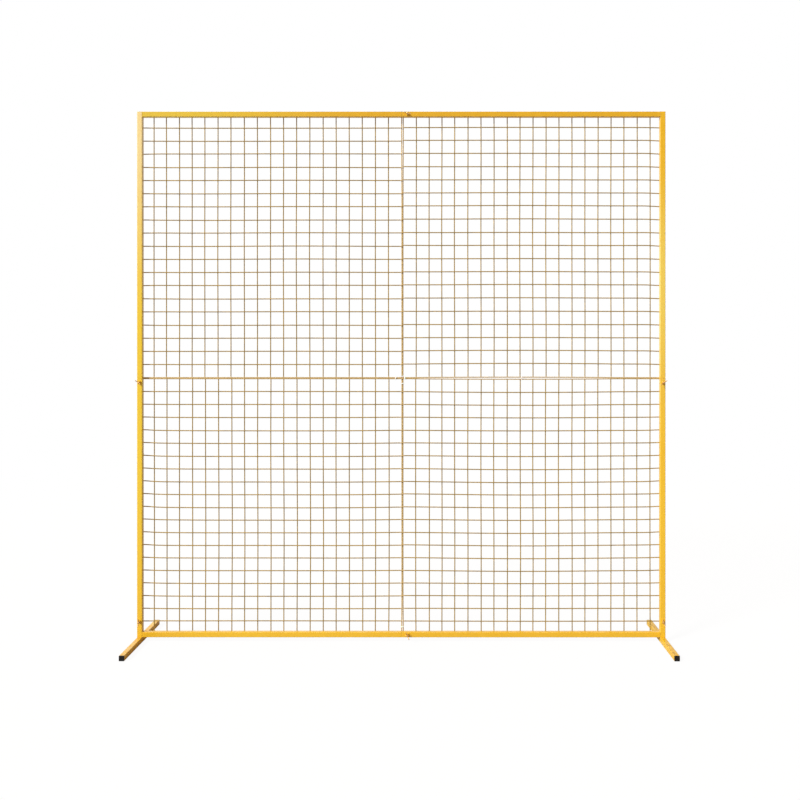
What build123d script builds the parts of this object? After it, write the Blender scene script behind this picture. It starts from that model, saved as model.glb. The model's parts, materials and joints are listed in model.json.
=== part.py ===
from build123d import *
from math import cos, radians, sin
import os

# Knock-down screen frame of square steel tube, two metres by two metres, filled with four welded wire
# panels and standing on two cross feet. X runs along the screen, +Y is its back and +Z is up. The origin
# is on the floor, in the middle of the footprint. All sizes are in millimetres.

# Square tube
TUBE = 20.0
TUBE_WALL = 1.2
TUBE_CORNER = 2.0
TUBE_INSIDE = TUBE - 2 * TUBE_WALL
INSIDE_CORNER = TUBE_CORNER - TUBE_WALL

# Frame: distances between tube centre-lines, and where the tubes meet
POST_X = 1005.0
FOOT_LENGTH = 400.0
FOOT_TOP = TUBE
POST_FOOT_GAP = 0.3
POST_LOW = FOOT_TOP + POST_FOOT_GAP
POST_JOINT = 1015.0
FRAME_TOP = 2040.0
CAP_THICKNESS = 2.0
CAP_ROUNDING = 0.6
POST_HIGH = FRAME_TOP - CAP_THICKNESS
RAIL_Z = {"bottom": FOOT_TOP + TUBE / 2 + POST_FOOT_GAP, "top": FRAME_TOP - TUBE / 2}
RAIL_END = POST_X - TUBE / 2

# Sleeves inside the tube joints: the tight half stays in one tube, the free half slides into the other
SLEEVE_HALF = 60.0
SLEEVE_PLAY = 0.2
SLEEVE_FREE = TUBE_INSIDE - 2 * SLEEVE_PLAY
SLEEVE_WALL = 1.5
JOINT_SLEEVE = ((TUBE_INSIDE, SLEEVE_HALF), (SLEEVE_FREE, -SLEEVE_HALF))
SPIGOT_LENGTH = 95.0

# Wing screws, M6: each turns in a nut that is welded on the tube's front face
POST_SCREW_PAST_JOINT = 16.0
RAIL_SCREW_PAST_JOINT = 25.0
FOOT_SCREW_Z = 81.0
STUD_RADIUS = 3.0
STUD_TIP = SLEEVE_FREE / 2 + 0.3
STUD_OUTER_END = 24.0
WALL_HOLE_RADIUS = 3.2
NUT_ACROSS_FLATS = 10.0
NUT_BORE_RADIUS = STUD_RADIUS + 0.05
NUT_THICKNESS = 5.0
HUB_BACK = 18.0
HUB_LENGTH = 8.0
HUB_RADIUS = 5.0
HUB_TAPER = 6.0
WING_THICKNESS = 3.0
WING_REACH = 14.5
WING_RISE = 13.0

# Each screw: x, z and the tilt of its wings from the horizontal, in degrees
SCREWS = {
    "left_mid": (-POST_X, POST_JOINT - POST_SCREW_PAST_JOINT, -40.0),
    "right_mid": (POST_X, POST_JOINT - POST_SCREW_PAST_JOINT, 38.0),
    "top_mid": (RAIL_SCREW_PAST_JOINT, RAIL_Z["top"], -12.0),
    "bottom_mid": (RAIL_SCREW_PAST_JOINT, RAIL_Z["bottom"], -66.0),
    "left_foot": (-POST_X, FOOT_SCREW_Z, 84.0),
    "right_foot": (POST_X, FOOT_SCREW_Z, -72.0),
}

# Welded wire panels behind the tubes, twenty cells each way. The frame's joint lies a little below mid
# height, which makes the lower panels' cells slightly shorter, and the upright seam a little right of centre.
PANEL_WIDTH = 1006.0
PANEL_HEIGHT = {"lower": 986.0, "upper": 1016.0}
CELLS = 20
WIRE_RADIUS = 2.0
EDGE_OFFSET = 2.05
SEAM_X = 4.0
PANEL_GAP = 0.3
CROSS_WIRE_Y = TUBE / 2 + PANEL_GAP + WIRE_RADIUS
UPRIGHT_WIRE_Y = CROSS_WIRE_Y + 2 * WIRE_RADIUS
PANEL_X = {"left": SEAM_X - EDGE_OFFSET - PANEL_WIDTH, "right": SEAM_X + EDGE_OFFSET}
PANEL_Z = {"lower": POST_JOINT - EDGE_OFFSET - PANEL_HEIGHT["lower"], "upper": POST_JOINT + EDGE_OFFSET}

# Hooks of round rod, welded on the back of the tubes, that hold the panels' cross wires
HOOK_RADIUS = 1.5
HOOK_PLAY = 0.1
HOOK_RISE = 10.0
HOOK_BEND = 3.0
RAIL_HOOK_CELLS = (2.5, 9.5, 16.5)
POST_HOOK_ROWS = (6, 14)
POST_HOOK_INSET = 6.5

# Cable ties round the panels' edge wires: name, x, z, the seam they close, and the gap between its wires
STRAP_WIDTH = 3.6
STRAP_THICKNESS = 1.1
STRAP_PLAY = 0.1
TIE_HEAD = 5.0
TIE_TAIL = 4.0
WIDE_SEAM = 8.0
TIES = (
    ("seam_tie_above_centre", SEAM_X, POST_JOINT + 7, "upright", 2 * EDGE_OFFSET),
    ("seam_tie_below_centre", SEAM_X, POST_JOINT - 21, "upright", 2 * EDGE_OFFSET),
    ("seam_tie_near_bottom", SEAM_X, 54.0, "upright", 2 * EDGE_OFFSET),
    ("seam_tie_left_of_centre", SEAM_X - 26, POST_JOINT, "cross", 2 * EDGE_OFFSET),
    ("seam_tie_right_of_centre", SEAM_X + 9, POST_JOINT, "cross", 2 * EDGE_OFFSET),
    ("seam_tie_mid_right", 465.0, POST_JOINT, "cross", WIDE_SEAM),
)

# Plastic end plugs of the feet
PLUG_FLANGE = 3.0
PLUG_INSERT = 12.0
PLUG_WALL = 2.0

FRONT_FACE = Plane.XZ.offset(TUBE / 2)


def save(piece, node):
    piece.part.label = node
    export_step(piece.part, f"parts/{node}.step")


def screws_in(x_low, x_high, z_low, z_high):
    """Places, as (x, z), of the wing screws that go through a tube lying in this range."""
    return [(x, z) for x, z, tilt in SCREWS.values() if x_low < x < x_high and z_low < z < z_high]


def square_tube(section, length, screw_places=()):
    """Square tube drawn on the plane section, with a hole in its front wall for each screw."""
    with BuildPart() as tube:
        with BuildSketch(section):
            RectangleRounded(TUBE, TUBE, TUBE_CORNER)
            RectangleRounded(TUBE_INSIDE, TUBE_INSIDE, INSIDE_CORNER, mode=Mode.SUBTRACT)
        extrude(amount=length)
        if screw_places:
            with BuildSketch(FRONT_FACE):
                with Locations(*screw_places):
                    Circle(WALL_HOLE_RADIUS)
            extrude(amount=-2 * TUBE_WALL, mode=Mode.SUBTRACT)
    return tube


def post_cap(x):
    """Plate that closes the top of a post, with its upper edge rounded."""
    with BuildPart() as cap:
        with BuildSketch(Plane(origin=(x, 0, POST_HIGH))):
            RectangleRounded(TUBE, TUBE, TUBE_CORNER)
        extrude(amount=CAP_THICKNESS)
        fillet(cap.faces().sort_by(Axis.Z)[-1].edges(), CAP_ROUNDING)
    return cap


def sleeve(section, stretches):
    """Hollow square sleeve, made of stretches along the section's normal, each (outside size, length)."""
    bore = SLEEVE_FREE - 2 * SLEEVE_WALL
    with BuildPart() as inner:
        for outside, length in stretches:
            with BuildSketch(section):
                RectangleRounded(outside, outside, INSIDE_CORNER)
                Rectangle(bore, bore, mode=Mode.SUBTRACT)
            extrude(amount=length)
    return inner


def weld_nut(x, z):
    """Hexagon nut on the tube's front face, with a small chamfer round its outer end."""
    with BuildPart() as nut:
        with BuildSketch(FRONT_FACE):
            with Locations((x, z)):
                RegularPolygon(NUT_ACROSS_FLATS / 2, 6, major_radius=False)
        extrude(amount=NUT_THICKNESS)
        chamfer(nut.faces().sort_by(Axis.Y)[0].edges(), 0.5)
        with BuildSketch(FRONT_FACE):
            with Locations((x, z)):
                Circle(NUT_BORE_RADIUS)
        extrude(amount=NUT_THICKNESS, mode=Mode.SUBTRACT)
    return nut


def stud(x, z):
    """Round shank of a wing screw, from just short of the sleeve to inside the wing head."""
    with BuildPart() as shank:
        with BuildSketch(Plane.XZ.offset(STUD_TIP)):
            with Locations((x, z)):
                Circle(STUD_RADIUS)
        extrude(amount=STUD_OUTER_END - STUD_TIP)
        chamfer(shank.edges().filter_by(GeomType.CIRCLE).sort_by(Axis.Y)[-1], 0.6)
    return shank


def wing_head(x, z, tilt):
    """Head of a wing screw: a tapered hub with a blind bore, and two wings that flare forward."""
    along = (cos(radians(tilt)), 0, sin(radians(tilt)))
    across = (sin(radians(tilt)), 0, -cos(radians(tilt)))
    back = (x, -HUB_BACK, z)
    hub_plane = Plane(origin=back, x_dir=along, z_dir=(0, -1, 0))
    wing_plane = Plane(origin=back, x_dir=along, z_dir=across)
    with BuildPart() as head:
        with BuildSketch(wing_plane):
            with BuildLine():
                Polyline((0, 1), (HUB_RADIUS, 1.5), (WING_REACH - 3, WING_RISE - 8))
                RadiusArc((WING_REACH - 3, WING_RISE - 8), (WING_REACH, WING_RISE - 2.5), 9)
                RadiusArc((WING_REACH, WING_RISE - 2.5), (WING_REACH - 4.5, WING_RISE), 3.2)
                Polyline((WING_REACH - 4.5, WING_RISE), (HUB_RADIUS, HUB_LENGTH - 1), (0, HUB_LENGTH - 1), (0, 1))
            make_face()
            mirror(about=Plane.YZ)
        extrude(amount=WING_THICKNESS / 2, both=True)
        with BuildSketch(hub_plane):
            Circle(HUB_RADIUS)
        extrude(amount=HUB_LENGTH, taper=HUB_TAPER)
        with BuildSketch(hub_plane):
            Circle(NUT_BORE_RADIUS)
        extrude(amount=STUD_OUTER_END - HUB_BACK + 0.3, mode=Mode.SUBTRACT)
    return head


def wire_panel(left, low, height):
    """Welded panel: cross wires in the front layer, upright wires in the layer behind."""
    middle_x = left + PANEL_WIDTH / 2
    middle_z = low + height / 2
    upright_xs = [left + i * PANEL_WIDTH / CELLS for i in range(CELLS + 1)]
    cross_zs = [low + i * height / CELLS for i in range(CELLS + 1)]
    with BuildPart() as panel:
        with Locations(*[(x, UPRIGHT_WIRE_Y, middle_z) for x in upright_xs]):
            Cylinder(WIRE_RADIUS, height + 2 * WIRE_RADIUS)
        with Locations(*[(middle_x, CROSS_WIRE_Y, z) for z in cross_zs]):
            Cylinder(WIRE_RADIUS, PANEL_WIDTH + 2 * WIRE_RADIUS, rotation=(0, 90, 0))
    return panel


def panel_hooks(places):
    """Rod hooks: each leaves the tube's back face under a cross wire at (x, z) and rises behind it."""
    riser_y = CROSS_WIRE_Y + WIRE_RADIUS + HOOK_PLAY + HOOK_RADIUS
    with BuildPart() as hooks:
        for x, wire_z in places:
            start_z = wire_z - WIRE_RADIUS - HOOK_PLAY - HOOK_RADIUS
            with BuildLine():
                FilletPolyline(
                    (x, TUBE / 2, start_z),
                    (x, riser_y, start_z),
                    (x, riser_y, start_z + HOOK_RISE),
                    radius=HOOK_BEND,
                )
            with BuildSketch(Plane(origin=(x, TUBE / 2, start_z), z_dir=(0, 1, 0))):
                Circle(HOOK_RADIUS)
            sweep()
    return hooks


def cable_tie(x, z, seam, gap):
    """Strap round the two edge wires of a seam, with its locking head in front and a trimmed tail."""
    if seam == "upright":
        section = Plane(origin=(x, UPRIGHT_WIRE_Y, z), x_dir=(1, 0, 0), z_dir=(0, 0, 1))
    else:
        section = Plane(origin=(x, CROSS_WIRE_Y, z), x_dir=(0, 0, -1), z_dir=(1, 0, 0))
    inner_width = gap + 2 * (WIRE_RADIUS + STRAP_PLAY)
    inner_depth = 2 * (WIRE_RADIUS + STRAP_PLAY)
    outer_width = inner_width + 2 * STRAP_THICKNESS
    outer_depth = inner_depth + 2 * STRAP_THICKNESS
    with BuildPart() as tie:
        with BuildSketch(section):
            RectangleRounded(outer_width, outer_depth, outer_depth / 2 - 0.1)
            RectangleRounded(inner_width, inner_depth, inner_depth / 2 - 0.1, mode=Mode.SUBTRACT)
        extrude(amount=STRAP_WIDTH / 2, both=True)
        with BuildSketch(section):
            with Locations((0, -outer_depth / 2 - 1.3)):
                RectangleRounded(TIE_HEAD, 3.0, 0.6)
        extrude(amount=TIE_HEAD / 2, both=True)
        with BuildSketch(section):
            with Locations((TIE_HEAD / 2 + TIE_TAIL / 2 - 0.2, -outer_depth / 2 - 1.3)):
                Rectangle(TIE_TAIL, STRAP_THICKNESS)
        extrude(amount=STRAP_WIDTH / 2, both=True)
    return tie


def end_plug(x, end_y):
    """Plug for one end of a foot tube: a flange over the tube end and a hollow insert inside it."""
    outwards = 1 if end_y > 0 else -1
    end_plane = Plane(origin=(x, end_y, TUBE / 2), x_dir=(1, 0, 0), z_dir=(0, outwards, 0))
    with BuildPart() as plug:
        with BuildSketch(end_plane):
            RectangleRounded(TUBE, TUBE, TUBE_CORNER)
        extrude(amount=PLUG_FLANGE)
        fillet(plug.faces().sort_by(Axis.Y)[-1 if outwards > 0 else 0].edges(), 1.2)
        with BuildSketch(end_plane):
            RectangleRounded(TUBE_INSIDE, TUBE_INSIDE, INSIDE_CORNER)
            Rectangle(TUBE_INSIDE - 2 * PLUG_WALL, TUBE_INSIDE - 2 * PLUG_WALL, mode=Mode.SUBTRACT)
        extrude(amount=-PLUG_INSERT)
    return plug


os.makedirs("parts", exist_ok=True)

# Posts with their caps, joint sleeves and hooks, and the feet that carry them
for side, post_x in (("left", -POST_X), ("right", POST_X)):
    inwards = 1 if post_x < 0 else -1
    hook_x = post_x + inwards * POST_HOOK_INSET
    joint_plane = Plane(origin=(post_x, 0, POST_JOINT))
    lower_screws = screws_in(post_x - TUBE, post_x + TUBE, POST_LOW, POST_JOINT)

    low_plane = Plane(origin=(post_x, 0, POST_LOW))
    save(square_tube(low_plane, POST_JOINT - POST_LOW, lower_screws), f"{side}_lower_post")
    save(square_tube(joint_plane, POST_HIGH - POST_JOINT), f"{side}_upper_post")
    save(post_cap(post_x), f"{side}_post_cap")
    save(sleeve(joint_plane, JOINT_SLEEVE), f"{side}_post_sleeve")
    for level, low in PANEL_Z.items():
        hook_places = [(hook_x, low + row * PANEL_HEIGHT[level] / CELLS) for row in POST_HOOK_ROWS]
        save(panel_hooks(hook_places), f"{side}_{level}_post_hooks")

    foot_plane = Plane(origin=(post_x, FOOT_LENGTH / 2, TUBE / 2), x_dir=(1, 0, 0), z_dir=(0, -1, 0))
    save(square_tube(foot_plane, FOOT_LENGTH), f"{side}_foot_tube")
    save(sleeve(Plane(origin=(post_x, 0, FOOT_TOP)), ((SLEEVE_FREE, SPIGOT_LENGTH),)), f"{side}_foot_spigot")
    save(end_plug(post_x, -FOOT_LENGTH / 2), f"{side}_foot_front_plug")
    save(end_plug(post_x, FOOT_LENGTH / 2), f"{side}_foot_rear_plug")

# Rails: two halves each, joined by a sleeve that stays in the left half, with hooks for the edge wires
for level, rail_z, hook_z in (
    ("bottom", RAIL_Z["bottom"], PANEL_Z["lower"]),
    ("top", RAIL_Z["top"], PANEL_Z["upper"] + PANEL_HEIGHT["upper"]),
):
    middle = Plane(origin=(0, 0, rail_z), x_dir=(0, 1, 0), z_dir=(-1, 0, 0))
    right_screws = screws_in(0, RAIL_END, rail_z - TUBE, rail_z + TUBE)
    save(square_tube(middle, RAIL_END), f"{level}_left_rail")
    save(square_tube(middle, -RAIL_END, right_screws), f"{level}_right_rail")
    save(sleeve(middle, JOINT_SLEEVE), f"{level}_rail_sleeve")
    for side, left in PANEL_X.items():
        hook_places = [(left + cell * PANEL_WIDTH / CELLS, hook_z) for cell in RAIL_HOOK_CELLS]
        save(panel_hooks(hook_places), f"{level}_{side}_rail_hooks")

# Wing screws and their weld nuts
for place, (screw_x, screw_z, tilt) in SCREWS.items():
    save(weld_nut(screw_x, screw_z), f"{place}_nut")
    save(stud(screw_x, screw_z), f"{place}_stud")
    save(wing_head(screw_x, screw_z, tilt), f"{place}_wings")

# Wire panels
for level, low in PANEL_Z.items():
    for side, left in PANEL_X.items():
        save(wire_panel(left, low, PANEL_HEIGHT[level]), f"{level}_{side}_mesh")

# Cable ties
for node, tie_x, tie_z, seam, gap in TIES:
    save(cable_tie(tie_x, tie_z, seam, gap), node)
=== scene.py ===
import json
from math import ceil, cos, pi, radians, sin

import bmesh
import bpy
import numpy as np
from mathutils import Matrix, Vector

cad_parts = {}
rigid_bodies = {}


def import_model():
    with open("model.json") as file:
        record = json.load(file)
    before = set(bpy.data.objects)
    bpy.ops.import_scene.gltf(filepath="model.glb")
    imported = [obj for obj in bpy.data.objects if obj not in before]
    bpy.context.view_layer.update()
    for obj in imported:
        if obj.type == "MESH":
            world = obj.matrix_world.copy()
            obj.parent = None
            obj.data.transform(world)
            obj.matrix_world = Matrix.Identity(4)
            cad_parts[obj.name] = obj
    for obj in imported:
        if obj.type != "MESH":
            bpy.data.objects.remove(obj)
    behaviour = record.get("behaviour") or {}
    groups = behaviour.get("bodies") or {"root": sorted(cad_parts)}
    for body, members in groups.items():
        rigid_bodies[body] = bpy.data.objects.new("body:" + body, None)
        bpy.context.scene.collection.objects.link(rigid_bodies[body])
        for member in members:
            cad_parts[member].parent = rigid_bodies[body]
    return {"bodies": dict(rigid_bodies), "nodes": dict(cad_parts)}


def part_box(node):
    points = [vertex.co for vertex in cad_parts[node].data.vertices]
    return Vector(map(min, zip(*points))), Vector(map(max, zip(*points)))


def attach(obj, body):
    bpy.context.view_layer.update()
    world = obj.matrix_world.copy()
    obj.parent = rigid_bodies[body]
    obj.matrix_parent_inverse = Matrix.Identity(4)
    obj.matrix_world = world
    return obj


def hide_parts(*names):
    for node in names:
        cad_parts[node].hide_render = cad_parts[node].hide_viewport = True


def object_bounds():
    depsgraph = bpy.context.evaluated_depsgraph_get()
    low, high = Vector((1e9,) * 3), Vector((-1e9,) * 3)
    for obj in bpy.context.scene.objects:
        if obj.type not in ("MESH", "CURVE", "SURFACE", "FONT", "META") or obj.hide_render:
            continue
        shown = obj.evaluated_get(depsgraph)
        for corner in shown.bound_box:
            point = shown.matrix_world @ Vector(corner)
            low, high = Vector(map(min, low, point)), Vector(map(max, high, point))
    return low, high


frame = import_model()
cad_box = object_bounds()

MM = 0.001

# The object's own sizes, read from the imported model's boxes
POST_LOW, POST_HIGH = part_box("left_lower_post")
FRONT_Y, BACK_Y = POST_LOW.y, POST_HIGH.y
TUBE = BACK_Y - FRONT_Y
JOINT_Z = POST_HIGH.z
POST_X = (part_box("right_lower_post")[0].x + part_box("right_lower_post")[1].x) / 2
RAIL_END_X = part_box("top_right_rail")[1].x
RAIL_CENTRE_Z = {
    level: (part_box(f"{level}_left_rail")[0].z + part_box(f"{level}_left_rail")[1].z) / 2
    for level in ("bottom", "top")
}
CAP_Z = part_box("left_post_cap")[0].z
POST_TOP_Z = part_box("left_post_cap")[1].z
WIRE_RADIUS = (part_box("lower_left_mesh")[1].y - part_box("lower_left_mesh")[0].y) / 4
SEAM_X = (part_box("upper_left_mesh")[1].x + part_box("upper_right_mesh")[0].x) / 2
SEAM_Z = (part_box("upper_left_mesh")[0].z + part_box("lower_left_mesh")[1].z) / 2
CELLS = 20
X_DIR, Y_DIR, Z_DIR = Vector((1, 0, 0)), Vector((0, 1, 0)), Vector((0, 0, 1))

SCREW_PLACES = ("left_mid", "right_mid", "top_mid", "bottom_mid", "left_foot", "right_foot")
SCREW_TILT = {
    "left_mid": -40, "right_mid": 38, "top_mid": -12, "bottom_mid": -66, "left_foot": 84, "right_foot": -72,
}


# ---------------------------------------------------------------- mesh helpers

def add_mesh(name, verts, faces, material, smooth_angle=40, body="frame"):
    """New mesh object with the material, shaded smooth below the angle, riding on the body."""
    mesh = bpy.data.meshes.new(name)
    mesh.from_pydata([tuple(v) for v in verts], [], [tuple(f) for f in faces])
    mesh.validate()
    work = bmesh.new()
    work.from_mesh(mesh)
    bmesh.ops.recalc_face_normals(work, faces=work.faces)
    work.to_mesh(mesh)
    work.free()
    piece = bpy.data.objects.new(name, mesh)
    bpy.context.scene.collection.objects.link(piece)
    piece.data.materials.append(material)
    smooth(piece, smooth_angle)
    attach(piece, body)
    return piece


def smooth(piece, angle=40):
    """Shade smooth, keeping edges sharper than the angle."""
    mesh = piece.data
    mesh.shade_smooth()
    mesh.set_sharp_from_angle(angle=radians(angle))


class Shape:
    """Collects vertices and faces of one piece that has several shells."""

    def __init__(self):
        self.verts = []
        self.faces = []

    def add(self, verts, faces):
        start = len(self.verts)
        self.verts.extend(verts)
        self.faces.extend([tuple(i + start for i in face) for face in faces])

    def loft(self, rings, closed=False, caps=True):
        """Skin over rings of equal point count; closed joins the last ring to the first."""
        count = len(rings[0])
        verts = [p for ring in rings for p in ring]
        faces = []
        last = len(rings) if closed else len(rings) - 1
        for r in range(last):
            low = r * count
            high = ((r + 1) % len(rings)) * count
            for i in range(count):
                j = (i + 1) % count
                faces.append((low + i, low + j, high + j, high + i))
        if caps and not closed:
            faces.append(tuple(reversed(range(count))))
            faces.append(tuple(range(len(verts) - count, len(verts))))
        self.add(verts, faces)


def across(direction):
    """Two unit vectors square to the direction and to each other."""
    helper = Vector((0, 0, 1)) if abs(direction.z) < 0.9 else Vector((1, 0, 0))
    first = direction.cross(helper).normalized()
    return first, direction.cross(first).normalized()


def circle_ring(centre, first, second, radius, sides):
    return [
        centre + (first * cos(a) + second * sin(a)) * radius
        for a in (2 * pi * i / sides for i in range(sides))
    ]


def rounded_square(half, corner, steps=5):
    """Outline of a square with rounded corners, as (u, v) points."""
    points = []
    for quarter in range(4):
        turn = quarter * pi / 2
        centre = Vector((half - corner, half - corner))
        for i in range(steps + 1):
            a = i * pi / 2 / steps
            p = centre + Vector((cos(a), sin(a))) * corner
            points.append((p.x * cos(turn) - p.y * sin(turn), p.x * sin(turn) + p.y * cos(turn)))
    return points


def bead(shape, path, radius, seed, closed=False, ripple=1.5 * MM):
    """Weld bead along a path: a soft tube whose radius swells once every ripple."""
    draw = np.random.default_rng(seed)
    points = [Vector(p) for p in path]
    if closed:
        points.append(points[0])
    dense = []
    for a, b in zip(points, points[1:]):
        steps = max(2, ceil((b - a).length / (ripple / 3)))
        dense.extend(a.lerp(b, i / steps) for i in range(steps))
    if not closed:
        dense.append(points[-1])
    rings = []
    travelled = 0.0
    for i, point in enumerate(dense):
        following = dense[(i + 1) % len(dense)] if closed or i + 1 < len(dense) else point
        previous = dense[i - 1] if closed or i else point
        direction = (following - previous).normalized()
        first, second = across(direction)
        travelled += (point - previous).length if i else 0.0
        swell = 1 + 0.16 * abs(sin(pi * travelled / ripple)) + 0.06 * draw.standard_normal()
        if not closed and i in (0, len(dense) - 1):
            swell *= 0.35
        rings.append(circle_ring(point, first, second, radius * swell, 8))
    shape.loft(rings, closed=closed)


# ---------------------------------------------------------------- materials

class Nodes:
    """Short words for building a node material."""

    def __init__(self, name):
        self.material = bpy.data.materials.new(name)
        self.material.use_nodes = True
        self.tree = self.material.node_tree
        self.shader = self.tree.nodes["Principled BSDF"]
        self.place = self.tree.nodes.new("ShaderNodeTexCoord").outputs["Object"]

    def link(self, source, target):
        self.tree.links.new(source, target)

    def noise(self, scale, detail=3.0, roughness=0.55, stretch=None):
        node = self.tree.nodes.new("ShaderNodeTexNoise")
        node.inputs["Scale"].default_value = scale
        node.inputs["Detail"].default_value = detail
        node.inputs["Roughness"].default_value = roughness
        place = self.place
        if stretch:
            mapping = self.tree.nodes.new("ShaderNodeMapping")
            mapping.inputs["Scale"].default_value = stretch
            self.link(place, mapping.inputs["Vector"])
            place = mapping.outputs["Vector"]
        self.link(place, node.inputs["Vector"])
        return node.outputs["Fac"]

    def ramp(self, value, low, high, out_low=0.0, out_high=1.0):
        node = self.tree.nodes.new("ShaderNodeMapRange")
        node.interpolation_type = "SMOOTHSTEP"
        node.inputs["From Min"].default_value = low
        node.inputs["From Max"].default_value = high
        node.inputs["To Min"].default_value = out_low
        node.inputs["To Max"].default_value = out_high
        self.link(value, node.inputs["Value"])
        return node.outputs["Result"]

    def math(self, operation, first, second=None):
        node = self.tree.nodes.new("ShaderNodeMath")
        node.operation = operation
        for socket, value in zip(node.inputs, (first, second)):
            if value is None:
                continue
            if isinstance(value, (int, float)):
                socket.default_value = value
            else:
                self.link(value, socket)
        return node.outputs["Value"]

    def axis(self, name):
        node = self.tree.nodes.new("ShaderNodeSeparateXYZ")
        self.link(self.place, node.inputs["Vector"])
        return node.outputs[name]

    def facing_up(self):
        geometry = self.tree.nodes.new("ShaderNodeNewGeometry")
        node = self.tree.nodes.new("ShaderNodeSeparateXYZ")
        self.link(geometry.outputs["Normal"], node.inputs["Vector"])
        return node.outputs["Z"]

    def mix(self, factor, first, second):
        node = self.tree.nodes.new("ShaderNodeMix")
        node.data_type = "RGBA"
        self.link(factor, node.inputs["Factor"])
        for socket, value in ((node.inputs["A"], first), (node.inputs["B"], second)):
            if isinstance(value, tuple):
                socket.default_value = (*value, 1)
            else:
                self.link(value, socket)
        return node.outputs["Result"]

    def bump(self, height, strength, distance, below=None):
        node = self.tree.nodes.new("ShaderNodeBump")
        node.inputs["Strength"].default_value = strength
        node.inputs["Distance"].default_value = distance
        self.link(height, node.inputs["Height"])
        if below:
            self.link(below, node.inputs["Normal"])
        return node.outputs["Normal"]

    def finish(self, colour, roughness, normal, metallic=None):
        self.link(colour, self.shader.inputs["Base Color"])
        self.link(roughness, self.shader.inputs["Roughness"])
        self.link(normal, self.shader.inputs["Normal"])
        if metallic:
            self.link(metallic, self.shader.inputs["Metallic"])
        return self.material


PAINT = (0.80, 0.500, 0.024)
PAINT_DEEP = (0.76, 0.450, 0.018)
PAINT_ORANGE = (0.70, 0.400, 0.016)
# Russet that paints warm shade into the left foot's sides.
RUSSET_PAINTED_SHADE = (0.77, 0.425, 0.016)
PAINT_YELLOW = (0.80, 0.570, 0.036)
# Straw colour for a painted sheen band on the right post.
PAINT_STRAW_SHEEN = (0.79, 0.600, 0.110)
PAINT_AMBER = (0.72, 0.520, 0.036)
# Pale colour for a painted sheen on the upper left post.
PAINT_PALE_SHEEN = (0.86, 0.700, 0.330)
BARE_STEEL = (0.30, 0.26, 0.21)
DUST = (0.80, 0.66, 0.42)
# Pale colour that paints light onto the left foot's top faces.
PAINTED_TOP_LIGHT = (0.80, 0.66, 0.26)
# Dark amber that paints shade onto the right foot's top faces.
PAINTED_TOP_SHADE = (0.42, 0.22, 0.012)


def powder_coat(name, axis, worn_at, worn_reach, *shades, dust_and_painted_top=(0.30, DUST)):
    """Semi-gloss powder coat: orange peel, a faint drift of colour, dust, and chips near cut ends.

    Each shade is a colour, and the axis and two places between which it comes in; the pale and straw
    shades on the posts are painted sheen, the russet one on the left foot painted shade. The tint on the
    faces that look up is an amount and a colour: a dusty film by default, painted light on the left
    foot's top and painted shade on the right foot's top.
    """
    paint = Nodes(name)
    drift = paint.ramp(paint.noise(2.6, detail=4), 0.35, 0.68)
    cloud = paint.ramp(paint.noise(38, detail=5), 0.40, 0.75)
    colour = paint.mix(drift, PAINT, PAINT_DEEP)
    for shade, shade_axis, start, end in shades:
        arrival = paint.ramp(paint.axis(shade_axis), min(start, end), max(start, end))
        if start > end:
            arrival = paint.math("SUBTRACT", 1.0, arrival)
        colour = paint.mix(arrival, colour, shade)
    colour = paint.mix(paint.math("MULTIPLY", cloud, 0.25), colour, (0.84, 0.52, 0.045))
    # On the tubes this mask lays a dusty film on the faces that look up; on the feet it lays painted light
    # (left foot) and painted shade (right foot) there.
    dust_and_painted_top_mask = paint.math("MULTIPLY", paint.ramp(paint.facing_up(), 0.55, 0.95), cloud)
    amount, dust_and_painted_top_colour = dust_and_painted_top
    colour = paint.mix(paint.math("MULTIPLY", dust_and_painted_top_mask, amount), colour, dust_and_painted_top_colour)
    near = None
    for place in worn_at:
        gap = paint.math("ABSOLUTE", paint.math("SUBTRACT", paint.axis(axis), place))
        closeness = paint.ramp(gap, 0.0, worn_reach, 1.0, 0.0)
        near = closeness if near is None else paint.math("MAXIMUM", near, closeness)
    chips = paint.math("MULTIPLY", near, paint.noise(620, detail=4, roughness=0.7))
    chips = paint.ramp(chips, 0.545, 0.60)
    scuffs = paint.ramp(paint.noise(95, detail=6, roughness=0.75, stretch=(1, 1, 0.2)), 0.70, 0.80)
    colour = paint.mix(paint.math("MULTIPLY", scuffs, 0.22), colour, (0.55, 0.33, 0.07))
    colour = paint.mix(chips, colour, BARE_STEEL)
    rough = paint.ramp(paint.noise(130, detail=3), 0.2, 0.8, 0.30, 0.44)
    rough = paint.math("ADD", rough, paint.math("MULTIPLY", dust_and_painted_top_mask, 0.18))
    peel = paint.noise(520, detail=2, roughness=0.4)
    normal = paint.bump(peel, 0.28, 0.22 * MM)
    normal = paint.bump(paint.math("SUBTRACT", 1.0, chips), 0.6, 0.12 * MM, below=normal)
    paint.shader.inputs["Coat Weight"].default_value = 0.25
    paint.shader.inputs["Coat Roughness"].default_value = 0.18
    return paint.finish(colour, rough, normal, metallic=paint.math("MULTIPLY", chips, 0.85))


def rubbed_steel():
    """Bare tube that slides inside another: dull steel with lengthwise rub marks and a little oil."""
    steel = Nodes("rubbed_steel")
    marks = steel.ramp(steel.noise(210, detail=6, roughness=0.7, stretch=(1, 1, 0.03)), 0.35, 0.7)
    blotches = steel.ramp(steel.noise(45, detail=5), 0.4, 0.7)
    colour = steel.mix(marks, (0.42, 0.41, 0.39), (0.55, 0.54, 0.52))
    colour = steel.mix(steel.math("MULTIPLY", blotches, 0.4), colour, (0.30, 0.24, 0.17))
    rough = steel.ramp(marks, 0, 1, 0.46, 0.30)
    normal = steel.bump(marks, 0.25, 0.08 * MM)
    steel.shader.inputs["Metallic"].default_value = 0.9
    return steel.finish(colour, rough, normal)


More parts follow.
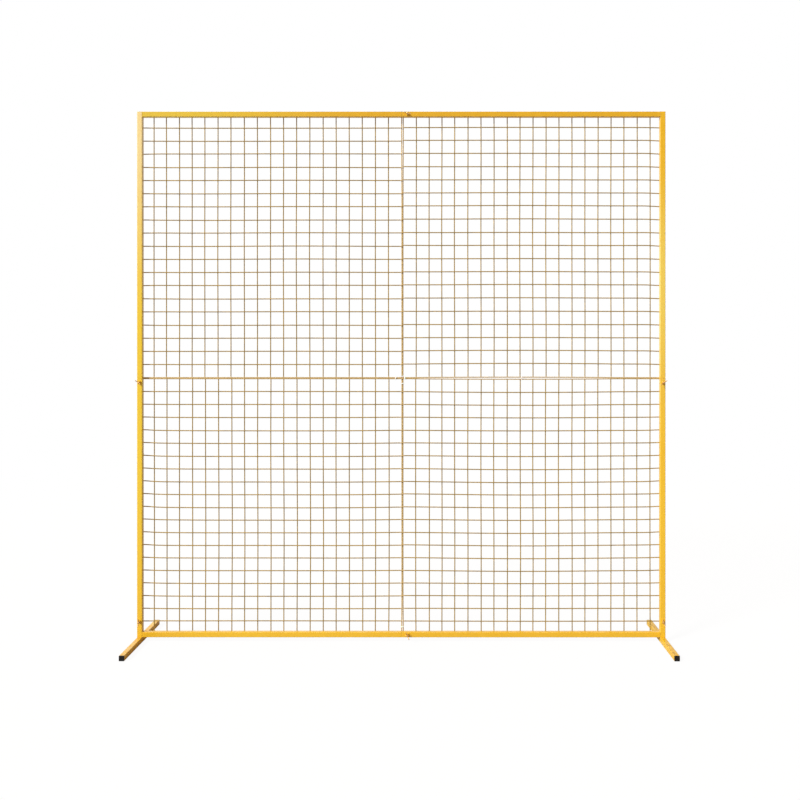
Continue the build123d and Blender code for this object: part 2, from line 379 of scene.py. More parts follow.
def wire_lacquer():
    """Drawn steel wire under thin golden lacquer, in bronze patches, rubbed paler where panels meet."""
    wire = Nodes("wire_lacquer")
    patches = wire.ramp(wire.noise(14, detail=5, roughness=0.65), 0.36, 0.68)
    streaks = wire.ramp(wire.noise(420, detail=4, roughness=0.7), 0.45, 0.75)
    colour = wire.mix(patches, (0.45, 0.305, 0.063), (0.33, 0.230, 0.057))
    colour = wire.mix(wire.math("MULTIPLY", streaks, 0.35), colour, (0.52, 0.36, 0.12))
    beside_upright = wire.math("ABSOLUTE", wire.math("SUBTRACT", wire.axis("X"), SEAM_X))
    beside_cross = wire.math("ABSOLUTE", wire.math("SUBTRACT", wire.axis("Z"), SEAM_Z))
    rubbed = wire.ramp(wire.math("MINIMUM", beside_upright, beside_cross), 6 * MM, 10 * MM, 1.0, 0.0)
    colour = wire.mix(wire.math("MULTIPLY", rubbed, 0.85), colour, (0.63, 0.46, 0.19))
    rough = wire.ramp(streaks, 0, 1, 0.34, 0.52)
    normal = wire.bump(wire.noise(900, detail=3), 0.3, 0.1 * MM)
    wire.shader.inputs["Metallic"].default_value = 0.25
    wire.shader.inputs["Specular IOR Level"].default_value = 0.3
    return wire.finish(colour, rough, normal)


def yellow_zinc():
    """Cast and plated screw metal: brassy sheen, darker in the pits, iridescent drift."""
    zinc = Nodes("yellow_zinc")
    tint = zinc.ramp(zinc.noise(160, detail=4), 0.35, 0.7)
    pits = zinc.ramp(zinc.noise(1400, detail=3, roughness=0.6), 0.52, 0.75)
    colour = zinc.mix(tint, (0.80, 0.52, 0.18), (0.70, 0.40, 0.15))
    colour = zinc.mix(zinc.math("MULTIPLY", pits, 0.5), colour, (0.34, 0.22, 0.08))
    rough = zinc.ramp(pits, 0, 1, 0.40, 0.62)
    normal = zinc.bump(zinc.noise(1100, detail=3), 0.25, 0.12 * MM)
    zinc.shader.inputs["Metallic"].default_value = 0.85
    return zinc.finish(colour, rough, normal)


def white_nylon():
    """Natural nylon: milky white, a little light passing through, faint flow marks."""
    nylon = Nodes("white_nylon")
    flow = nylon.ramp(nylon.noise(420, detail=4), 0.35, 0.7)
    colour = nylon.mix(flow, (0.90, 0.90, 0.875), (0.82, 0.82, 0.78))
    rough = nylon.ramp(flow, 0, 1, 0.34, 0.46)
    normal = nylon.bump(nylon.noise(2200, detail=2), 0.2, 0.05 * MM)
    nylon.shader.inputs["Subsurface Weight"].default_value = 0.2
    nylon.shader.inputs["Subsurface Scale"].default_value = 0.6 * MM
    return nylon.finish(colour, rough, normal)


def black_plastic():
    """Moulded black polyethylene with a fine grain and pale scuffs where it meets the floor."""
    plastic = Nodes("black_plastic")
    grain = plastic.noise(2600, detail=3, roughness=0.6)
    scuffs = plastic.ramp(plastic.noise(260, detail=6, roughness=0.75), 0.60, 0.78)
    low = plastic.ramp(plastic.axis("Z"), 0.0, 6 * MM, 1.0, 0.15)
    worn = plastic.math("MULTIPLY", scuffs, low)
    colour = plastic.mix(worn, (0.008, 0.007, 0.007), (0.05, 0.047, 0.045))
    rough = plastic.ramp(grain, 0.3, 0.7, 0.42, 0.56)
    normal = plastic.bump(grain, 0.35, 0.1 * MM)
    plastic.shader.inputs["Specular IOR Level"].default_value = 0.3
    return plastic.finish(colour, rough, normal)


POST_ENDS = (POST_LOW.z, JOINT_Z)
RAIL_ENDS = (-RAIL_END_X, 0.0, RAIL_END_X)
TUBE_PAINT = {
    # The pale shade towards the left post's top is a painted sheen.
    "left": powder_coat(
        "powder_coat_left_post_with_painted_sheen", "Z", POST_ENDS, 7 * MM,
        (PAINT_YELLOW, "Z", -0.3, 0.8), (PAINT_PALE_SHEEN, "Z", 1.2, POST_TOP_Z),
    ),
    # The straw band from 0.7 m to 1.4 m up the right post is a painted sheen.
    "right": powder_coat(
        "powder_coat_right_post_with_painted_sheen", "Z", POST_ENDS, 7 * MM,
        (PAINT_STRAW_SHEEN, "Z", 0.7, 1.4), (PAINT_DEEP, "Z", 1.4, 1.9),
    ),
    "bottom": powder_coat(
        "powder_coat_bottom_rail", "X", RAIL_ENDS, 6 * MM, (PAINT_DEEP, "X", -0.5, 0.2),
    ),
    "top": powder_coat(
        "powder_coat_top_rail", "X", RAIL_ENDS, 6 * MM,
        (PAINT_ORANGE, "Z", 0.5, JOINT_Z), (PAINT_AMBER, "X", -0.1, -0.9),
    ),
}
FOOT_ENDS = (cad_box[0].y + 3 * MM, cad_box[1].y - 3 * MM)
FOOT_PAINT_WITH_PAINTED_LIGHT_AND_SHADE = {
    # Left foot: the russet paint stands in for warm shade on its sides, and the pale tint on its top faces
    # is painted light.
    "left": powder_coat(
        "powder_coat_left_foot_with_painted_light_and_shade", "Y", FOOT_ENDS, 9 * MM,
        (RUSSET_PAINTED_SHADE, "Z", -0.2, -0.1), dust_and_painted_top=(0.6, PAINTED_TOP_LIGHT),
    ),
    # Right foot: the dark amber on its top faces is painted shade.
    "right": powder_coat("powder_coat_right_foot_with_painted_shade", "Y", FOOT_ENDS, 9 * MM, dust_and_painted_top=(0.9, PAINTED_TOP_SHADE)),
}
SMALL_PAINT = powder_coat("powder_coat_small_parts", "Y", (FRONT_Y - 5 * MM,), 2 * MM)
STEEL = rubbed_steel()
WIRE = wire_lacquer()
ZINC = yellow_zinc()
NYLON = white_nylon()
BLACK = black_plastic()


# ---------------------------------------------------------------- CAD tubes and small painted parts

def dress(node, material):
    """Gives a CAD node its material."""
    piece = frame["nodes"][node]
    piece.data.materials.clear()
    piece.data.materials.append(material)


for node in frame["nodes"]:
    if node.endswith(("_post", "_post_cap", "_rail")):
        dress(node, TUBE_PAINT[node.split("_")[0]])
    elif node.endswith("_foot_tube"):
        dress(node, FOOT_PAINT_WITH_PAINTED_LIGHT_AND_SHADE[node.split("_")[0]])
    elif node.endswith("_sleeve") or node.endswith("_spigot"):
        dress(node, STEEL)
    elif node.endswith("_hooks") or node.endswith("_nut"):
        dress(node, SMALL_PAINT)


# ---------------------------------------------------------------- welds

TUBE_CORNER = 2.0 * MM
CORNER_BEAD = 0.6 * MM
CAP_BEAD = 0.35 * MM
LIP_BEAD = 0.28 * MM
LIP_APART = 0.84 * MM
NUT_BEAD = 1.1 * MM
NUT_WELD_RADIUS = 6.1 * MM
HOOK_BEAD = 0.75 * MM
HOOK_WELD_RADIUS = 2.3 * MM


def square_path(centre, u, v, half, corner):
    return [centre + u * a + v * b for a, b in rounded_square(half, corner, steps=3)]


def corner_welds():
    """Bead round each rail end, where it is welded to its post."""
    for level, z in RAIL_CENTRE_Z.items():
        for side, x in (("left", -RAIL_END_X), ("right", RAIL_END_X)):
            shape = Shape()
            path = square_path(Vector((x, 0, z)), Y_DIR, Z_DIR, TUBE / 2 - 0.1 * MM, TUBE_CORNER)
            bead(shape, path, CORNER_BEAD, seed=len(level) + int(x > 0), closed=True)
            weld = add_mesh(f"{level}_{side}_corner_weld", shape.verts, shape.faces, TUBE_PAINT[level], 60)


def cap_welds():
    """Ground-down bead round the top of each post, under its cap."""
    for side, x in (("left", -1), ("right", 1)):
        low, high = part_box(f"{side}_post_cap")
        shape = Shape()
        centre = Vector(((low.x + high.x) / 2, 0, CAP_Z))
        path = square_path(centre, X_DIR, Y_DIR, TUBE / 2 - 0.15 * MM, TUBE_CORNER)
        bead(shape, path, CAP_BEAD, seed=20 + x, closed=True, ripple=1.1 * MM)
        weld = add_mesh(f"{side}_cap_weld", shape.verts, shape.faces, TUBE_PAINT[side], 60)


def joint_lips():
    """Thin lips of paint and burr at the two tube ends that meet in each joint."""
    joints = (
        ("left_post", Vector((-POST_X, 0, JOINT_Z)), X_DIR, Y_DIR, Z_DIR),
        ("right_post", Vector((POST_X, 0, JOINT_Z)), X_DIR, Y_DIR, Z_DIR),
        ("bottom_rail", Vector((0, 0, RAIL_CENTRE_Z["bottom"])), Y_DIR, Z_DIR, X_DIR),
        ("top_rail", Vector((0, 0, RAIL_CENTRE_Z["top"])), Y_DIR, Z_DIR, X_DIR),
    )
    for number, (name, centre, u, v, along) in enumerate(joints):
        shape = Shape()
        for side in (-1, 1):
            path = square_path(centre + along * side * LIP_APART / 2, u, v, TUBE / 2, TUBE_CORNER)
            bead(shape, path, LIP_BEAD, seed=80 + 2 * number + side, closed=True, ripple=1.3 * MM)
        paint = TUBE_PAINT[name.split("_")[0]]
        lips = add_mesh(f"{name}_joint_lips", shape.verts, shape.faces, paint, 60)


def nut_welds():
    """Two short beads hold each nut on its tube."""
    for seed, place in enumerate(SCREW_PLACES):
        low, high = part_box(f"{place}_nut")
        middle = (low + high) / 2
        shape = Shape()
        for turn in (0.25, 1.25):
            path = []
            for i in range(7):
                a = turn * pi + (i - 3) * 0.16
                away = NUT_WELD_RADIUS * cos(a), NUT_WELD_RADIUS * sin(a)
                path.append((middle.x + away[0], FRONT_Y - 0.2 * MM, middle.z + away[1]))
            bead(shape, path, NUT_BEAD, seed=40 + seed)
        weld = add_mesh(f"{place}_nut_weld", shape.verts, shape.faces, SMALL_PAINT, 60)


def hook_welds():
    """Ring of weld where each hook leaves the tube."""
    for node, piece in frame["nodes"].items():
        if not node.endswith("_hooks"):
            continue
        roots = {}
        for vertex in piece.data.vertices:
            if vertex.co.y < BACK_Y + 0.05 * MM:
                key = (round(vertex.co.x, 2), round(vertex.co.z, 2))
                roots.setdefault(key, []).append(vertex.co.copy())
        merged = []
        for points in roots.values():
            middle = sum(points, Vector()) / len(points)
            for group in merged:
                if (group[0] - middle).length < 10 * MM:
                    group.extend(points)
                    break
            else:
                merged.append([middle, *points])
        shape = Shape()
        for number, group in enumerate(merged):
            rim = group[1:]
            lows = Vector(map(min, *rim))
            highs = Vector(map(max, *rim))
            centre = (lows + highs) / 2 + Y_DIR * 0.1 * MM
            ring = circle_ring(centre, X_DIR, Z_DIR, HOOK_WELD_RADIUS, 16)
            bead(shape, ring, HOOK_BEAD, seed=60 + number, closed=True)
        weld = add_mesh(f"{node}_welds", shape.verts, shape.faces, SMALL_PAINT, 60)


corner_welds()
cap_welds()
joint_lips()
nut_welds()
hook_welds()


# ---------------------------------------------------------------- wire panels

SEAM_OPENING = 8.0 * MM
EDGE_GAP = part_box("upper_left_mesh")[0].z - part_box("lower_left_mesh")[1].z + 2 * WIRE_RADIUS
WIRE_SINK = 0.35 * MM
WIRE_SIDES = 8
STEPS_PER_CELL = 3
PLACE_ERROR = 0.6 * MM
WIRE_BOW = 0.8 * MM
HELD_REACH = 45 * MM
BELLY = 2.6 * MM
WAVE_X, WAVE_Z = 0.8 * MM, 0.9 * MM
LEFT_SPREAD = {"upper": 7.2 * MM, "lower": 5.2 * MM}
LOWER_SAG = 5.6 * MM
UPPER_RIGHT_RISE = 3.4 * MM
OPENING_START, OPENING_LENGTH = 55 * MM, 760 * MM
SEAM_PART = 1.0 * MM


class Panel:
    """One welded wire panel, with the small unevenness that a real one has."""

    def __init__(self, level, side, seed):
        self.node = f"{level}_{side}_mesh"
        low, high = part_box(self.node)
        self.left = low.x + WIRE_RADIUS
        self.bottom = low.z + WIRE_RADIUS
        self.width = high.x - low.x - 2 * WIRE_RADIUS
        self.height = high.z - low.z - 2 * WIRE_RADIUS
        self.front_y = low.y + WIRE_RADIUS
        self.level = level
        self.upper = level == "upper"
        self.right = side == "right"
        self.draw = np.random.default_rng(seed)
        self.phase = self.draw.uniform(0, 2 * pi, 6)
        self.cross_offset = self.draw.normal(0, PLACE_ERROR, CELLS + 1)
        self.upright_offset = self.draw.normal(0, PLACE_ERROR, CELLS + 1)

    def free(self, x):
        """0 at the post, where hooks hold the cross wires in their places, and 1 away from it."""
        outer = self.left + self.width - x if self.right else x - self.left
        return 1 - np.exp(-((np.clip(outer, 0, None) / HELD_REACH) ** 2))

    def spread(self, u, v):
        """Drift of the wires' spacing across a panel, which is wider beside the seams, as (dx, dz)."""
        dx = 0 * u
        dz = 0 * v
        if not self.right:
            dx = dx - LEFT_SPREAD[self.level] * np.sin(pi * u ** 0.55)
        if not self.upper:
            dz = dz - LOWER_SAG * np.sin(pi * v) * (0.4 + 0.65 * np.sin(pi * u))
        elif self.right:
            dz = dz + UPPER_RIGHT_RISE * (1 - np.exp(-v / 0.12)) * (1 - v ** 24)
        return dx, dz

    def warp(self, x, z):
        """How far the point (x, z) of the flat panel has moved, as (dx, dy, dz)."""
        u = np.clip((x - self.left) / self.width, 0, 1)
        v = np.clip((z - self.bottom) / self.height, 0, 1)
        inside = np.clip(16 * u * (1 - u) * v * (1 - v), 0, 1)
        belly = BELLY * inside * (0.6 + 0.4 * np.sin(5 * u + 4 * v + self.phase[0]))
        dx, dz = self.spread(u, v)
        dx = dx + WAVE_X * inside * np.sin(2 * pi * v + self.phase[1])
        dz = dz + WAVE_Z * inside * np.sin(2 * pi * u + self.phase[2])
        from_seam_z = v if self.upper else 1 - v
        away = 1 if self.upper else -1
        if self.right:
            span = np.clip((x - OPENING_START) / OPENING_LENGTH, 0, 1)
            opening = (SEAM_OPENING - EDGE_GAP) / 2 * np.sin(pi * span) ** 0.6
            dz = dz + away * opening * np.exp(-((from_seam_z / 0.16) ** 2))
        from_seam_x = u if self.right else 1 - u
        outwards = 1 if self.right else -1
        ends = np.exp(-(((z - 1.96) / 0.16) ** 2)) + 1.3 * np.exp(-((z / 0.10) ** 2))
        dx = dx + outwards * SEAM_PART * ends * np.exp(-((from_seam_x / 0.12) ** 2))
        return dx, belly, dz * self.free(x)

    def line(self, number, upright):
        """Centre line of one wire, as an array of points."""
        length, spread = (self.height, self.width) if upright else (self.width, self.height)
        pitch = spread / CELLS
        along = np.linspace(-WIRE_RADIUS, length + WIRE_RADIUS, CELLS * STEPS_PER_CELL + 1)
        edge = number in (0, CELLS)
        offset = self.upright_offset[number] if upright else self.cross_offset[number]
        wave = WIRE_BOW * np.sin(pi * along / length) * np.sin(self.phase[3] + number)
        bow = 0 if edge else offset + wave
        if upright:
            x = self.left + number * pitch + bow + 0 * along
            z = self.bottom + along
            y = self.front_y + 2 * WIRE_RADIUS - WIRE_SINK + 0 * along
        else:
            x = self.left + along
            z = self.bottom + number * pitch + bow * self.free(x)
            y = self.front_y + 0 * along
        dx, dy, dz = self.warp(x, z)
        return np.stack([x + dx, y + dy, z + dz], axis=1)

    def build(self):
        shape = Shape()
        lines = {}
        for upright in (False, True):
            first = np.array(X_DIR if upright else Z_DIR)
            second = np.array(Y_DIR)
            angles = 2 * pi * np.arange(WIRE_SIDES) / WIRE_SIDES
            section = WIRE_RADIUS * (np.cos(angles)[:, None] * first + np.sin(angles)[:, None] * second)
            for number in range(CELLS + 1):
                centres = self.line(number, upright)
                lines[upright, number] = centres
                shape.loft([[Vector(c + s) for s in section] for c in centres])
        for row in range(CELLS + 1):
            for column in range(CELLS + 1):
                self.nugget(shape, lines, row, column)
        piece = add_mesh(f"{self.node}_wires", shape.verts, shape.faces, WIRE, 50)
        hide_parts(self.node)

    def nugget(self, shape, lines, row, column):
        """Resistance weld where two wires cross: a low swelling squeezed out between them."""
        cross = lines[False, row][column * STEPS_PER_CELL]
        upright = lines[True, column][row * STEPS_PER_CELL]
        centre = Vector((upright[0], (cross[1] + upright[1]) / 2, cross[2]))
        wide = WIRE_RADIUS * (1.16 + 0.10 * self.draw.standard_normal())
        tall = WIRE_RADIUS * (1.16 + 0.10 * self.draw.standard_normal())
        rings = []
        for depth, swell in ((-0.95, 0.45), (-0.5, 0.9), (0.0, 1.0), (0.5, 0.9), (0.95, 0.45)):
            y = 0.73 * WIRE_RADIUS * depth
            rings.append([
                centre + Vector((wide * swell * cos(a), y, tall * swell * sin(a)))
                for a in (2 * pi * i / 8 for i in range(8))
            ])
        shape.loft(rings)


for seed, (level, side) in enumerate((a, b) for a in ("lower", "upper") for b in ("left", "right")):
    Panel(level, side, seed + 7).build()


# ---------------------------------------------------------------- wing screws

THREAD_PITCH = 1.0 * MM
THREAD_DEPTH = 0.55 * MM
THREAD_SIDES = 24


def threaded_stud(place):
    """Stud with a real helical thread, chamfered at its tip."""
    low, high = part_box(f"{place}_stud")
    centre = (low + high) / 2
    radius = (high.x - low.x) / 2 - 0.02 * MM
    rows = int((high.y - low.y) / (THREAD_PITCH / 6))
    rings = []
    for row in range(rows + 1):
        y = high.y - row * (high.y - low.y) / rows
        from_tip = high.y - y
        ring = []
        for i in range(THREAD_SIDES):
            phase = (from_tip / THREAD_PITCH - i / THREAD_SIDES) % 1.0
            crest = 1 - abs(2 * phase - 1)
            reach = radius - THREAD_DEPTH * (1 - min(1, crest * 1.25))
            reach = min(reach, radius - 0.9 * MM + from_tip)
            a = 2 * pi * i / THREAD_SIDES
            ring.append(Vector((centre.x + reach * cos(a), y, centre.z + reach * sin(a))))
        rings.append(ring)
    shape = Shape()
    shape.loft(rings)
    piece = add_mesh(f"{place}_threaded_stud", shape.verts, shape.faces, ZINC, 45, f"{place}_screw_stud")
    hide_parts(f"{place}_stud")


def wing_head_mesh():
    """Cast head of a wing screw, along +Z from the hub's back face: hub, web and two thick wings."""
    shape = Shape()
    hub = ((4.3, 0), (4.9, 0.5), (4.9, 1.8), (4.55, 4), (4.1, 6.8), (3.5, 7.7), (2.2, 8.1), (0.8, 8.2))
    rings = [circle_ring(Z_DIR * z * MM, X_DIR, Y_DIR, r * MM, 32) for r, z in hub]
    shape.loft(rings)
    outline = (
        (2.0, 1.2, 6.6, 2.1), (5.0, 1.7, 7.0, 1.9), (7.5, 2.8, 8.6, 1.6), (10.0, 4.6, 11.2, 1.45),
        (12.2, 6.8, 12.7, 1.45), (13.6, 8.8, 12.4, 1.35), (14.4, 10.0, 11.4, 0.9),
    )
    for side in (1, -1):
        rings = []
        for reach, low, high, half in outline:
            middle = (low + high) / 2
            tall = (high - low) / 2
            rings.append([
                Vector((
                    side * reach * MM,
                    half * MM * np.sign(sin(a)) * abs(sin(a)) ** 0.6,
                    (middle + tall * np.sign(cos(a)) * abs(cos(a)) ** 0.7) * MM,
                ))
                for a in (2 * pi * i / 20 for i in range(20))
            ])
        shape.loft(rings)
    rough = bpy.data.meshes.new("wing_head_rough")
    rough.from_pydata([tuple(v) for v in shape.verts], [], shape.faces)
    work = bmesh.new()
    work.from_mesh(rough)
    bmesh.ops.recalc_face_normals(work, faces=work.faces)
    work.to_mesh(rough)
    work.free()
    holder = bpy.data.objects.new("wing_head_rough", rough)
    bpy.context.scene.collection.objects.link(holder)
    remesh = holder.modifiers.new("fused", "REMESH")
    remesh.mode = "VOXEL"
    remesh.voxel_size = 0.32 * MM
    soften = holder.modifiers.new("cast", "SMOOTH")
    soften.factor = 0.5
    soften.iterations = 7
    thin = holder.modifiers.new("lighter", "DECIMATE")
    thin.ratio = 0.45
    graph = bpy.context.evaluated_depsgraph_get()
    mesh = bpy.data.meshes.new_from_object(holder.evaluated_get(graph))
    bpy.data.objects.remove(holder)
    bpy.data.meshes.remove(rough)
    mesh.name = "wing_head"
    mesh.materials.append(ZINC)
    mesh.shade_smooth()
    return mesh


def wing_heads():
    mesh = wing_head_mesh()
    for place in SCREW_PLACES:
        low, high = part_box(f"{place}_stud")
        back_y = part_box(f"{place}_wings")[1].y
        tilt = radians(SCREW_TILT[place])
        along = Vector((cos(tilt), 0, sin(tilt)))
        out = -Y_DIR
        turned = Matrix((along, out.cross(along), out)).transposed().to_4x4()
        head = bpy.data.objects.new(f"{place}_wing_head", mesh.copy())
        bpy.context.scene.collection.objects.link(head)
        place_on_nut = Matrix.Translation(((low.x + high.x) / 2, back_y, (low.z + high.z) / 2))
        head.data.transform(place_on_nut @ turned)
        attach(head, f"{place}_screw_wings")
        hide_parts(f"{place}_wings")


for place in SCREW_PLACES:
    threaded_stud(place)
wing_heads()


# ---------------------------------------------------------------- cable ties

STRAP_WIDTH = 3.6 * MM
STRAP_THICKNESS = 1.1 * MM
STRAP_PLAY = 0.12 * MM
STRAP_STEPS = 40
TIE_HEAD = 5.0 * MM
TIE_NODES = {
    "seam_tie_above_centre": True, "seam_tie_below_centre": True, "seam_tie_near_bottom": True,
    "seam_tie_left_of_centre": False, "seam_tie_right_of_centre": False, "seam_tie_mid_right": False,
}


def strap_section(middle, outwards, along):
    """Rounded rectangular section of the strap, as a ring round its middle."""
    ring = []
    quarter = ((1, 0.62), (0.8, 1))
    half = (*quarter, *((-a, b) for a, b in reversed(quarter)))
    for a, b in (*half, *((-a, -b) for a, b in half)):
        ring.append(middle + along * (a * STRAP_WIDTH / 2) + outwards * (b * STRAP_THICKNESS / 2))
    return ring


def rounded_box(shape, centre, axes, halves, corner):
    """Box with rounded long edges and softened ends; axes and halves are given as u, v, w."""
    u, v, w = axes
    rings = []
    for step, inset in ((-1.0, 0.8), (-0.92, 0.25), (-0.8, 0.0), (0.8, 0.0), (0.92, 0.25), (1.0, 0.8)):
        half_u = halves[0] - corner * inset
        half_v = halves[1] - corner * inset
        ring = []
        for a, b in rounded_square(1.0, 0.28, steps=3):
            ring.append(centre + u * (a * half_u) + v * (b * half_v) + w * (step * halves[2]))
        rings.append(ring)
    shape.loft(rings)


def cable_tie(node, upright):
    """Nylon tie: a strap round two edge wires, a locking head in front and a trimmed tail."""
    low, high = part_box(node)
    centre = (low + high) / 2
    v = Y_DIR
    if upright:
        u, w = X_DIR, Z_DIR
        gap = EDGE_GAP
    else:
        u, w = -Z_DIR, X_DIR
        gap = SEAM_OPENING if node == "seam_tie_mid_right" else EDGE_GAP
    loop_v = WIRE_RADIUS + STRAP_PLAY + STRAP_THICKNESS / 2
    seam_centre = Vector((SEAM_X if upright else centre.x, 0, centre.z if upright else JOINT_Z))
    seam_centre.y = high.y - STRAP_THICKNESS / 2 - loop_v
    shape = Shape()
    rings = []
    for i in range(STRAP_STEPS):
        a = 2 * pi * i / STRAP_STEPS
        straight = gap / 2
        p_u = loop_v * cos(a) + (straight if cos(a) > 0 else -straight)
        p_v = loop_v * sin(a)
        out = (u * cos(a) + v * sin(a)).normalized()
        rings.append(strap_section(seam_centre + u * p_u + v * p_v, out, w))
    shape.loft(rings, closed=True)
    head_centre = seam_centre - v * (loop_v + 1.35 * MM)
    rounded_box(shape, head_centre, (u, v, w), (TIE_HEAD / 2, 1.55 * MM, TIE_HEAD / 2), 0.5 * MM)
    lip = head_centre - v * 1.5 * MM
    for side in (-1, 1):
        rim = lip + u * side * 1.7 * MM
        rounded_box(shape, rim, (u, v, w), (0.45 * MM, 0.35 * MM, 1.9 * MM), 0.2 * MM)
    tail_rings = []
    for reach, drop in ((1.5, 0.0), (3.2, -0.05), (4.6, -0.25), (6.0, -0.6)):
        middle = head_centre + u * reach * MM + v * drop * MM
        tail_rings.append(strap_section(middle, v, w))
    shape.loft(tail_rings)
    for tooth in range(5):
        place = head_centre + u * (3.0 + 0.55 * tooth) * MM - v * (0.62 + 0.06 * tooth) * MM
        rounded_box(shape, place, (u, v, w), (0.16 * MM, 0.16 * MM, 1.2 * MM), 0.08 * MM)
    piece = add_mesh(f"{node}_strap", shape.verts, shape.faces, NYLON, 42)
    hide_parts(node)


for node, upright in TIE_NODES.items():
    cable_tie(node, upright)


# ---------------------------------------------------------------- foot plugs

FLANGE = 3.0 * MM


def end_plug(node, body):
    """Moulded end plug: a crowned flange with a shallow dished face, on a plain insert."""
    low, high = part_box(node)
    front = low.y < 0
    outwards = -1 if front else 1
    tube_end = low.y + FLANGE if front else high.y - FLANGE
    middle = Vector(((low.x + high.x) / 2, tube_end, (low.z + high.z) / 2))
    half = (high.x - low.x) / 2
    sections = (
        (-12.0, 7.6, 1.0), (-11.2, 8.2, 1.0), (-0.6, 8.6, 0.8), (0.0, 8.7, 0.8), (0.0, 9.95, 2.0),
        (1.6, 10.0, 2.0), (2.4, 9.75, 2.0), (2.85, 9.2, 1.9), (3.0, 8.4, 1.8), (2.95, 7.2, 1.6),
        (2.62, 6.6, 1.5), (2.5, 5.0, 1.4), (2.45, 1.0, 0.5),
    )
    rings = []
    for out, size, corner in sections:
        reach = size * MM * half / (10 * MM)
        outline = rounded_square(reach, min(corner * MM, reach * 0.9), steps=6)
        rings.append([middle + Vector((a, outwards * out * MM, b)) for a, b in outline])
    shape = Shape()
    shape.loft(rings)
    gate = [
        circle_ring(middle + Y_DIR * outwards * y * MM, X_DIR, Z_DIR, r * MM, 20)
        for y, r in ((2.3, 1.5), (2.6, 1.45), (2.72, 1.25), (2.75, 0.6))
    ]
    shape.loft(gate)
    piece = add_mesh(f"{node}_moulded", shape.verts, shape.faces, BLACK, 45, body)
    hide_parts(node)


for side in ("left", "right"):
    for end in ("front", "rear"):
        end_plug(f"{side}_foot_{end}_plug", f"{side}_foot")


# ---------------------------------------------------------------- floor, light and camera

FLOOR_REACH = 9.0
FLOOR_CLEARANCE = 0.2 * MM
FLOOR_FADE = (2.2, 5.5)
FLOOR_GLOW = 0.95
FLOOR_BOUNCE = 0.45
FLOOR_PAINT = (0.92, 0.92, 0.915, 1)
FILL_STRENGTH = 0.36
FILL_COLOUR = (1.0, 0.72, 0.50)
KEY_STRENGTH = 4.0
KEY_COLOUR = (1.0, 0.985, 0.96)
KEY_TOWARDS = (-0.62, -0.55, 0.56)
KEY_SOFTNESS = radians(14)
BACK_STRENGTH = 1.15
BACK_TOWARDS = (-0.55, 0.80, 0.05)
BACK_COLOUR = (1.0, 0.97, 0.93)
BACK_EDGES = (0.15, 0.95)
CAMERA_PLACE = (0.120, -3.312, 1.157)
CAMERA_LENS = 38.70
CAMERA_SHIFT = (-0.0396, -0.0732)
CAMERA_TURN = radians(0.05)


def camera_only(tree, seen, unseen, output):
    """Shows the first shader to the camera and lets the second one light the object."""
    path = tree.nodes.new("ShaderNodeLightPath")
    blend = tree.nodes.new("ShaderNodeMixShader")
    tree.links.new(path.outputs["Is Camera Ray"], blend.inputs["Fac"])
    tree.links.new(unseen, blend.inputs[1])
    tree.links.new(seen, blend.inputs[2])
    tree.links.new(blend.outputs["Shader"], output)


def pale_floor():
    """Pale studio floor that brightens into the background and stays under a foot pulled down."""
    work = bmesh.new()
    bmesh.ops.create_grid(work, x_segments=8, y_segments=8, size=FLOOR_REACH)
    mesh = bpy.data.meshes.new("studio_floor")
    work.to_mesh(mesh)
    work.free()
    floor = bpy.data.objects.new("studio_floor", mesh)
    bpy.context.scene.collection.objects.link(floor)
    floor.location.z = -FLOOR_CLEARANCE
    for side in ("left", "right"):
        under = floor.constraints.new("FLOOR")
        under.target = frame["bodies"][f"{side}_foot"]
        under.floor_location = "FLOOR_NEGATIVE_Z"
        under.offset = -FLOOR_CLEARANCE
    surface = Nodes("studio_floor")
    surface.shader.inputs["Base Color"].default_value = FLOOR_PAINT
    surface.shader.inputs["Roughness"].default_value = 0.9
    length = surface.tree.nodes.new("ShaderNodeVectorMath")
    length.operation = "LENGTH"
    surface.link(surface.place, length.inputs[0])
    glow = surface.tree.nodes.new("ShaderNodeEmission")
    glow.inputs["Color"].default_value = (1, 1, 1, 1)
    glow.inputs["Strength"].default_value = 1.0
    blend = surface.tree.nodes.new("ShaderNodeMixShader")
    fade = surface.ramp(length.outputs["Value"], *FLOOR_FADE, FLOOR_GLOW, 1.0)
    surface.link(fade, blend.inputs["Fac"])
    surface.link(surface.shader.outputs["BSDF"], blend.inputs[1])
    surface.link(glow.outputs["Emission"], blend.inputs[2])
    bounce = surface.tree.nodes.new("ShaderNodeBsdfDiffuse")
    bounce.inputs["Color"].default_value = (FLOOR_BOUNCE, FLOOR_BOUNCE, FLOOR_BOUNCE, 1)
    output = surface.tree.nodes["Material Output"].inputs["Surface"]
    camera_only(surface.tree, blend.outputs["Shader"], bounce.outputs["BSDF"], output)
    mesh.materials.append(surface.material)


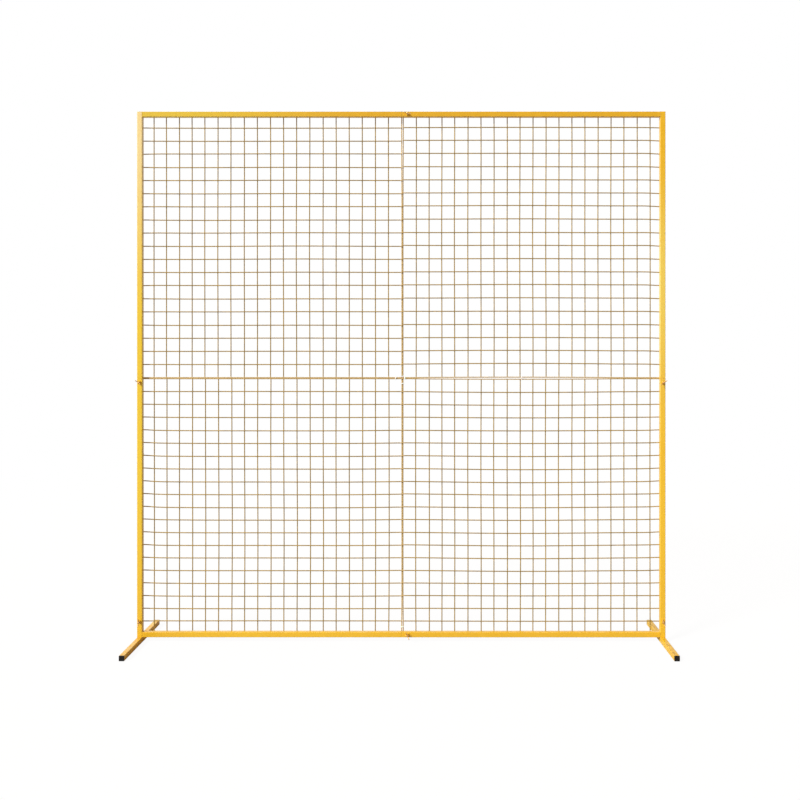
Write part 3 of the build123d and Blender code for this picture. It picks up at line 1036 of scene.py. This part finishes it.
def studio_world():
    """White background for the camera, and a soft warm fill that is brighter from behind on the left."""
    world = bpy.data.worlds.new("studio")
    world.use_nodes = True
    tree = world.node_tree
    backdrop = tree.nodes["Background"]
    backdrop.inputs["Color"].default_value = (1, 1, 1, 1)
    backdrop.inputs["Strength"].default_value = 1.0
    around = tree.nodes.new("ShaderNodeTexCoord").outputs["Generated"]
    towards = tree.nodes.new("ShaderNodeVectorMath")
    towards.operation = "DOT_PRODUCT"
    towards.inputs[1].default_value = Vector(BACK_TOWARDS).normalized()
    tree.links.new(around, towards.inputs[0])
    behind = tree.nodes.new("ShaderNodeMapRange")
    behind.interpolation_type = "SMOOTHSTEP"
    behind.inputs["From Min"].default_value = BACK_EDGES[0]
    behind.inputs["From Max"].default_value = BACK_EDGES[1]
    tree.links.new(towards.outputs["Value"], behind.inputs["Value"])
    colour = tree.nodes.new("ShaderNodeMix")
    colour.data_type = "RGBA"
    colour.inputs["A"].default_value = (*[FILL_STRENGTH * c for c in FILL_COLOUR], 1)
    colour.inputs["B"].default_value = (*[BACK_STRENGTH * c for c in BACK_COLOUR], 1)
    tree.links.new(behind.outputs["Result"], colour.inputs["Factor"])
    fill = tree.nodes.new("ShaderNodeBackground")
    tree.links.new(colour.outputs["Result"], fill.inputs["Color"])
    output = tree.nodes["World Output"].inputs["Surface"]
    camera_only(tree, backdrop.outputs["Background"], fill.outputs["Background"], output)
    bpy.context.scene.world = world


def key_light():
    """Broad light from the left, in front and above."""
    lamp = bpy.data.lights.new("key", "SUN")
    lamp.energy = KEY_STRENGTH
    lamp.angle = KEY_SOFTNESS
    lamp.color = KEY_COLOUR
    holder = bpy.data.objects.new("key", lamp)
    bpy.context.scene.collection.objects.link(holder)
    holder.location = Vector(KEY_TOWARDS) * 4
    holder.rotation_euler = (-Vector(KEY_TOWARDS)).to_track_quat("-Z", "Y").to_euler()


def camera():
    """Camera square to the screen, whose lens axis is above and to the right of the picture's centre."""
    lens = bpy.data.cameras.new("camera")
    lens.sensor_width = 36.0
    lens.lens = CAMERA_LENS
    lens.shift_x, lens.shift_y = CAMERA_SHIFT
    lens.dof.use_dof = False
    holder = bpy.data.objects.new("camera", lens)
    bpy.context.scene.collection.objects.link(holder)
    holder.location = CAMERA_PLACE
    holder.rotation_euler = (pi / 2, 0, CAMERA_TURN)
    bpy.context.scene.camera = holder


pale_floor()
studio_world()
key_light()
camera()
bpy.context.scene.view_settings.view_transform = "Standard"
